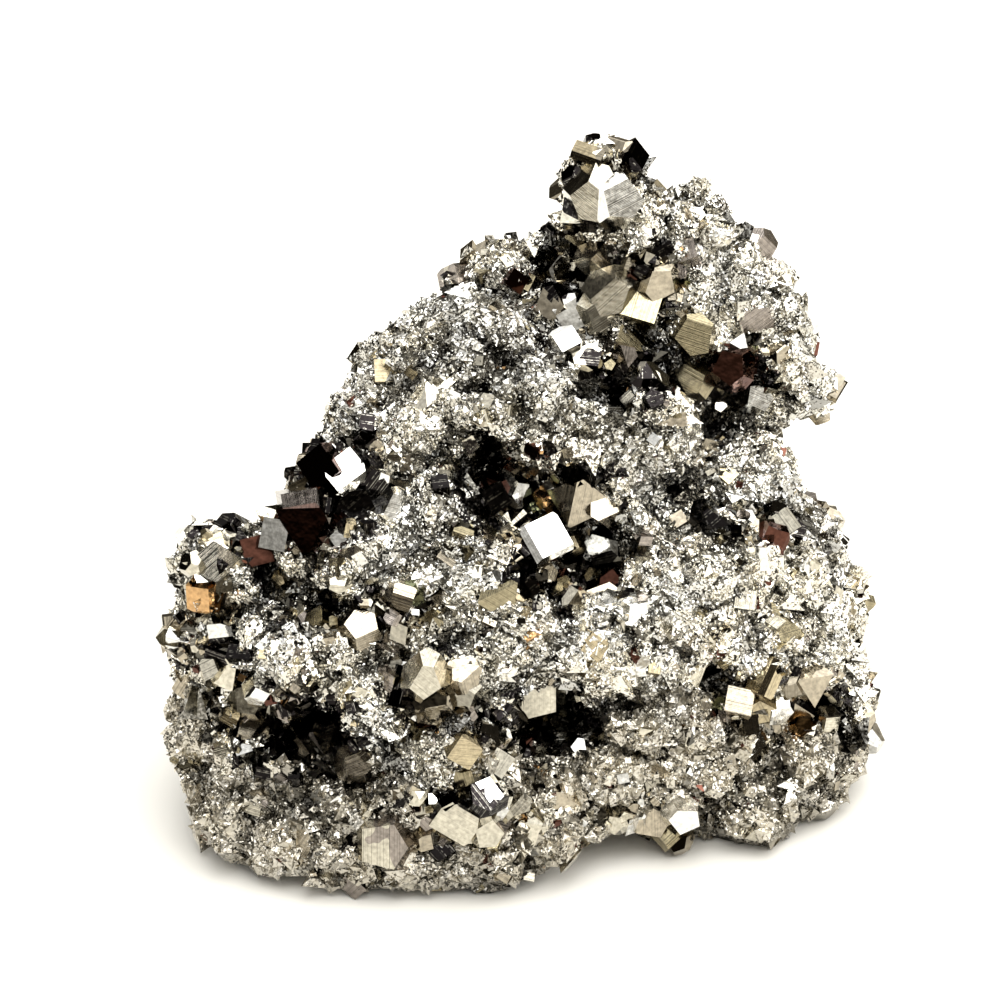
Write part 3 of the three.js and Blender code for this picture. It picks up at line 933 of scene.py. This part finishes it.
def cornersOf(planes):
    # three planes meet in a point, which is a corner unless another plane cuts it off
    corners = []
    for (a, atA), (b, atB), (c, atC) in combinations(planes, 3):
        volume = a.dot(b.cross(c))
        if abs(volume) > cornerCare["tolerance"]:
            corner = (b.cross(c) * atA + c.cross(a) * atB + a.cross(b) * atC) / volume
            if all(n.dot(corner) < distance + cornerCare["tolerance"] for n, distance in planes):
                corners.append(corner)
    return corners


def acrossFaces(shape):
    across = []
    for face in shape.faces:
        longest = max(range(3), key=lambda axis: abs(face.normal[axis]))
        along = Vector([1 if axis == (longest + 1) % 3 else 0 for axis in range(3)])
        sideways = face.normal.cross(along)
        across += [v.co.dot(sideways) for v in face.verts]
    return across


def crystalMesh(name, habit, unevenness, stretch, seed):
    planes, up = crystalPlanes(habit, unevenness, stretch, seed)
    shape = bmesh.new()
    for corner in cornersOf(planes):
        shape.verts.new(corner)
    bmesh.ops.remove_doubles(shape, verts=shape.verts, dist=cornerCare["mergeWithin"])
    bmesh.ops.convex_hull(shape, input=shape.verts)
    bmesh.ops.dissolve_limit(
        shape, angle_limit=cornerCare["flatWithin"], verts=shape.verts, edges=shape.edges)
    shape.normal_update()
    across = acrossFaces(shape)
    bmesh.ops.rotate(shape, matrix=up.rotation_difference(Vector((0, 0, 1))).to_matrix(), verts=shape.verts)
    mesh = bpy.data.meshes.new(name)
    shape.to_mesh(mesh)
    addField(mesh, "across", "CORNER", across)
    shape.free()
    return mesh


def shapeCollection(name, forms):
    collection = bpy.data.collections.new(name)
    for index, habit in enumerate(forms["habits"]):
        stretch = forms["stretches"][index % len(forms["stretches"])]
        mesh = crystalMesh(f"{name}{index}", habit, forms["unevenness"], stretch, index)
        collection.objects.link(bpy.data.objects.new(f"{name}{index}", mesh))
    return collection


grainShapes = shapeCollection("grain", grains)
bladeShapes = shapeCollection("blade", bladeForms)
crystalShapes = shapeCollection("crystal", crystalForms)
print("small shapes are made")


# Points strewn over a surface, each with a small crystal on it

scatterInputs = {
    "Geometry": "Geometry",
    "Spacing": "Float",
    "Most per area": "Float",
    "Smallest": "Float",
    "Largest": "Float",
    "Rarity": "Float",
    "Tilt": "Float",
    "Sink": "Float",
    "Seed": "Int",
    "Shapes": "Collection",
    "Material": "Material",
}


def scatterTree():
    tree = bpy.data.node_groups.new("crystalScatter", "GeometryNodeTree")
    sockets = {}
    for name, kind in scatterInputs.items():
        socket = tree.interface.new_socket(name=name, in_out="INPUT", socket_type="NodeSocket" + kind)
        sockets[name] = socket.identifier
    tree.interface.new_socket(name="Geometry", in_out="OUTPUT", socket_type="NodeSocketGeometry")
    given = addNode(tree, "NodeGroupInput").outputs

    def named(name):
        node = addNode(tree, "GeometryNodeInputNamedAttribute", {"Name": name}, data_type="FLOAT")
        return node.outputs["Attribute"]

    def randomly(kind, low, high, seedStep):
        seed = maths(tree, "ADD", given["Seed"], seedStep)
        first, result = (0, 0) if kind == "FLOAT_VECTOR" else (2, 1)
        inputs = {first: low, first + 1: high, "Seed": seed}
        return addNode(tree, "FunctionNodeRandomValue", inputs, data_type=kind).outputs[result]

    points = addNode(tree, "GeometryNodeDistributePointsOnFaces", distribute_method="POISSON")
    setInputs(tree, points, {
        "Mesh": given["Geometry"],
        "Distance Min": given["Spacing"],
        "Density Max": given["Most per area"],
        "Density Factor": named("share"),
        "Seed": given["Seed"],
    })
    pick = addNode(tree, "GeometryNodeCollectionInfo", {
        "Collection": given["Shapes"], "Separate Children": True, "Reset Children": True,
    })

    # few are large, most are small, and all are tipped and turned by chance
    rarity = maths(tree, "POWER", randomly("FLOAT", 0.0, 1.0, 1), given["Rarity"])
    spread = between(tree, rarity, 0, 1, given["Smallest"], given["Largest"])
    size = maths(tree, "MULTIPLY", spread, named("coarse"))
    most = addNode(tree, "ShaderNodeCombineXYZ", {0: given["Tilt"], 1: given["Tilt"], 2: math.pi})
    angles = randomly("FLOAT_VECTOR", (-1, -1, -1), (1, 1, 1), 2)
    turn = addNode(tree, "FunctionNodeRotateRotation", rotation_space="LOCAL")
    setInputs(tree, turn, {
        0: points.outputs["Rotation"],
        1: vectorMaths(tree, "MULTIPLY", angles, most.outputs[0]),
    })

    # each is sunk into the rock by a share of its own size
    depth = maths(tree, "MULTIPLY", size, given["Sink"])
    sunk = addNode(tree, "GeometryNodeSetPosition", {
        "Geometry": points.outputs["Points"],
        "Offset": scaled(tree, points.outputs["Normal"], depth),
    })
    placed = addNode(tree, "GeometryNodeInstanceOnPoints", {
        "Points": sunk.outputs[0],
        "Instance": pick.outputs[0],
        "Pick Instance": True,
        "Rotation": turn.outputs[0],
        "Scale": size,
    })
    toned = addNode(tree, "GeometryNodeStoreNamedAttribute", data_type="FLOAT", domain="INSTANCE")
    setInputs(tree, toned, {
        "Geometry": placed.outputs[0],
        "Name": "tone",
        "Value": randomly("FLOAT", 0.0, 1.0, 3),
    })
    real = addNode(tree, "GeometryNodeRealizeInstances", {0: toned.outputs[0]})
    finished = addNode(tree, "GeometryNodeSetMaterial", {
        "Geometry": real.outputs[0], "Material": given["Material"],
    })
    addNode(tree, "NodeGroupOutput", {0: finished.outputs[0]})
    return tree, sockets


scatter, scatterSockets = scatterTree()
overhang = 0.026  # no crystal reaches further out of the solid's box than this share of each side
boxSize = np.array(cadBox[1]) - np.array(cadBox[0])
lowest = np.array(cadBox[0]) - overhang * boxSize
highest = np.array(cadBox[1]) + overhang * boxSize
lowest[2] = 0  # and none goes below the floor


def keepInside(mesh):
    places = np.zeros(3 * len(mesh.vertices), np.float32)
    mesh.vertices.foreach_get("co", places)
    places = places.reshape(-1, 3)
    mesh.vertices.foreach_set("co", np.clip(places, lowest, highest).ravel())
    mesh.update()


def trianglesOf(piece):
    return sum(len(polygon.vertices) - 2 for polygon in piece.data.polygons)


def scatteredPiece(name, source, settings, seed, shapes, material):
    holder = addToScene(name + "Source", source)
    modifier = holder.modifiers.new("scatter", "NODES")
    modifier.node_group = scatter
    values = {
        "Spacing": settings["spacing"] * mm,
        "Most per area": settings["fill"] / (settings["spacing"] * mm) ** 2,
        "Smallest": settings["smallest"] * mm,
        "Largest": settings["largest"] * mm,
        "Rarity": settings["rarity"],
        "Tilt": math.radians(settings["tilt"]),
        "Sink": -settings["sink"],
        "Seed": seed,
        "Shapes": shapes,
        "Material": material,
    }
    for socketName, value in values.items():
        modifier[scatterSockets[socketName]] = value
    graph = bpy.context.evaluated_depsgraph_get()
    mesh = bpy.data.meshes.new_from_object(holder.evaluated_get(graph), depsgraph=graph)
    mesh.name = name
    holder.modifiers.clear()
    bpy.data.objects.remove(holder)
    keepInside(mesh)
    piece = addToScene(name, mesh)
    print(name, "has", trianglesOf(piece), "triangles")
    return piece


# Where the crust and the smaller crystals grow

crust = {
    "spacing": 0.285,  # least distance from one to the next
    "fill": 3.0,  # points tried on a square of that side, of which those too close together go
    "smallest": 0.19,
    "largest": 0.85,
    "rarity": 4.5,  # the higher, the fewer large ones
    "tilt": 24,  # degrees
    "sink": 0.05,  # share of its size that a crystal is sunk by
    "shading": 1,  # a power: the lower, the less the painted shade on the rock darkens what grows there
    "seed": 10,
}
backCrust = dict(crust, spacing=0.35, smallest=0.23)
blades = {
    "spacing": 1.4, "fill": 2.0, "smallest": 0.5, "largest": 1.1, "rarity": 2.0, "tilt": 20,
    "sink": 0.1, "shading": 0.5, "seed": 31,
}
smallCrystals = {
    "spacing": 0.80, "fill": 2.0, "smallest": 0.40, "largest": 0.90, "rarity": 1.3, "tilt": 180,
    "sink": 0.25, "shading": 0.5, "seed": 31,
}
middleCrystals = {
    "spacing": 1.30, "fill": 2.0, "smallest": 0.85, "largest": 2.1, "rarity": 1.5, "tilt": 180,
    "sink": 0.22, "shading": 0.5, "seed": 31,
}
zones = {
    # name: front side or back, lowest and highest, finish
    "dull_crust_front": (True, 0, 14, "pyriteDullCrust"),
    "crust_front_low": (True, 14, 26, "pyriteCrust"),
    "crust_front_middle": (True, 26, 38, "pyriteCrust"),
    "crust_front_top": (True, 38, 90, "pyriteCrust"),
    "dull_crust_back": (False, 0, 14, "pyriteDullCrust"),
    "crust_back_low": (False, 14, 30, "pyriteCrust"),
    "crust_back_top": (False, 30, 90, "pyriteCrust"),
}
zoneBorders = {
    "waveLength": 9.0,
    "waveHeight": 7.0,
    "shift": (7, 3, 5),
}
growth = {
    "foot": 0.5,  # nothing grows on what is lower than this
    "slowWaves": 4,  # length of the waves in the size of the grains
    "shortWaves": 3.2,  # and in how thickly crystals grow outside the clusters
    "rimLoss": 0.8,  # share lost at the outline, where a single crystal would seem to float
    "bladesInside": 0.3,  # share of the blades inside the clusters
    "sizeOutside": 0.75,  # size of the crystals outside the clusters
    # where it changes: value at weight or wave 0, how it rises from there, least and most
    "crustShare": (1, -1.6, 0.12, 1),  # by weight, the crust thins out inside the clusters
    "crustSize": (1, 0.6, 0.7, 1.35),  # by slow waves
    "shareInside": (0.35, 1, 0, 1),  # by weight
    "sizeInside": (0.75, 0.4, 0, 1.15),  # by weight
    "shareOutside": (0.05, 0.45, 0.01, 0.35),  # by short waves
    "bladesOutside": (0.3, 0.7, 0.05, 0.7),  # by short waves
}


def ramped(values, start, rise, least, most):
    return np.clip(start + rise * values, least, most)


def partOf(mesh, keep, fields, shading):
    # a part of the mass to grow on, with the painted light and shade at its points and its fields on its
    # faces
    shape = bmesh.new()
    shape.from_mesh(mesh)
    shape.faces.ensure_lookup_table()
    shape.faces.index_update()
    shape.loops.layers.float.remove(shape.loops.layers.float["light"])
    light = shape.verts.layers.float.new("light")
    for v in shape.verts:
        v[light] = openLight[v.index] ** shading
    bmesh.ops.delete(shape, geom=[f for f in shape.faces if not keep[f.index]], context="FACES")
    part = bpy.data.meshes.new("growth")
    shape.to_mesh(part)
    shape.free()
    for name, values in fields.items():
        addField(part, name, "FACE", values[keep])
    return part


def dropFlaps(mesh):
    # slivers of the solid that lie back to back enclose nothing
    shape = bmesh.new()
    shape.from_mesh(mesh)
    onCorners = {}
    for face in shape.faces:
        onCorners.setdefault(frozenset(face.verts), []).append(face)
    flaps = [face for same in onCorners.values() if len(same) > 1 for face in same]
    bmesh.ops.delete(shape, geom=flaps, context="FACES")
    shape.to_mesh(mesh)
    shape.free()
    print("slivers taken away:", len(flaps))


centres = faces["middle"]
weight = faces["weight"]
isInside = weight > 0
isRock = faces["isRock"] & (centres[:, 2] > growth["foot"])
print("share of the surface in crystal clusters", round(float(isInside[isRock].mean()), 2))

crustFields = {
    "share": ramped(np.clip(weight, 0, 1), *growth["crustShare"]),
    "coarse": ramped(wavesAt(centres, growth["slowWaves"]), *growth["crustSize"]),
    "gloom": faces["gloom"],
}
borderWaves = wavesAt(centres, zoneBorders["waveLength"], zoneBorders["shift"])
level = np.maximum(centres[:, 2] + zoneBorders["waveHeight"] * borderWaves, 0)
grown = []
for index, (name, (front, low, high, finish)) in enumerate(zones.items()):
    settings = crust if front else backCrust
    keep = isRock & (faces["isFront"] == front) & (level >= low) & (level < high)
    part = partOf(body.data, keep, crustFields, settings["shading"])
    seed = settings["seed"] + index
    grown.append(scatteredPiece(name, part, settings, seed, grainShapes, materials[finish]))

patches = wavesAt(centres, growth["shortWaves"])
awayFromRim = 1 - growth["rimLoss"] * faces["atRim"]
crystalShare = awayFromRim * np.where(
    isInside, ramped(weight, *growth["shareInside"]), ramped(patches, *growth["shareOutside"]))
bladeShare = awayFromRim * np.where(
    isInside, growth["bladesInside"], ramped(patches, *growth["bladesOutside"]))
crystalFields = {
    "share": crystalShare,
    "coarse": np.where(isInside, ramped(weight, *growth["sizeInside"]), growth["sizeOutside"]),
    "gloom": faces["gloom"],
}
clusterFields = dict(crystalFields, share=np.where(isInside, crystalShare, 0.0))
bladeFields = dict(crystalFields, share=bladeShare, coarse=np.ones(len(centres)))
for name, front, settings, shapes, fields in (
    ("blades_front", True, blades, bladeShapes, bladeFields),
    ("blades_back", False, blades, bladeShapes, bladeFields),
    ("small_crystals_front", True, smallCrystals, crystalShapes, crystalFields),
    ("small_crystals_back", False, smallCrystals, crystalShapes, crystalFields),
    ("crystals_front", True, middleCrystals, crystalShapes, clusterFields),
    ("crystals_back", False, middleCrystals, crystalShapes, clusterFields),
):
    part = partOf(body.data, isRock & (faces["isFront"] == front), fields, settings["shading"])
    finish = materials["pyriteCrystals"]
    grown.append(scatteredPiece(name, part, settings, settings["seed"], shapes, finish))

dropFlaps(body.data)
pieces = [body] + grown
print("all pieces together have", sum(trianglesOf(piece) for piece in pieces), "triangles")

for piece in pieces:
    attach(piece, "root")
    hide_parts("pyrite_cluster")
